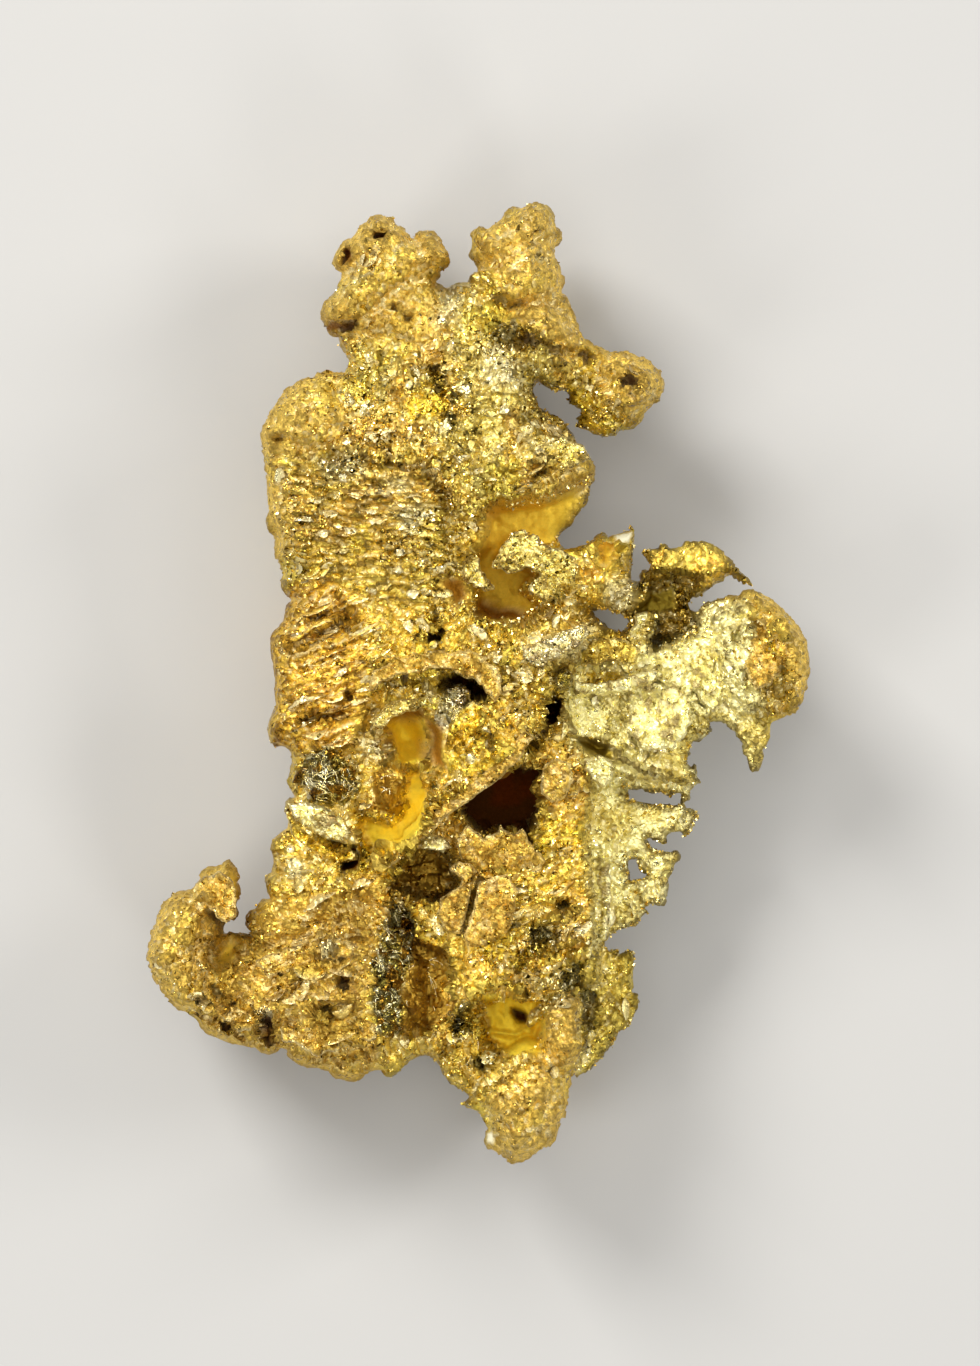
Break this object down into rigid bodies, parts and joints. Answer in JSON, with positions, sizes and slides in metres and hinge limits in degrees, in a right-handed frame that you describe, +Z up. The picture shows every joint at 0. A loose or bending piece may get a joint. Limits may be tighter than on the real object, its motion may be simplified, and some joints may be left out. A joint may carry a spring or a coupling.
{
  "type": "crystallized gold specimen",
  "caption": "Natural crystallized gold specimen, one fused mass of lumps, hackly crystals, hollows and thin leaves, lying on its back.",
  "frame": {"origin": "middle of the bounding box on the surface that the piece lies on", "axes": "+Z up out of the front face, +Y along the length from the lower tip towards the crown horns, +X towards the leafy right wing"},
  "size_m": [0.033, 0.048, 0.0118],
  "materials": {
    "gold": "bright crystals with frosted lumps"
  },
  "bodies": {
    "root": {"gold_mass": "gold"}
  },
  "joints": []
}
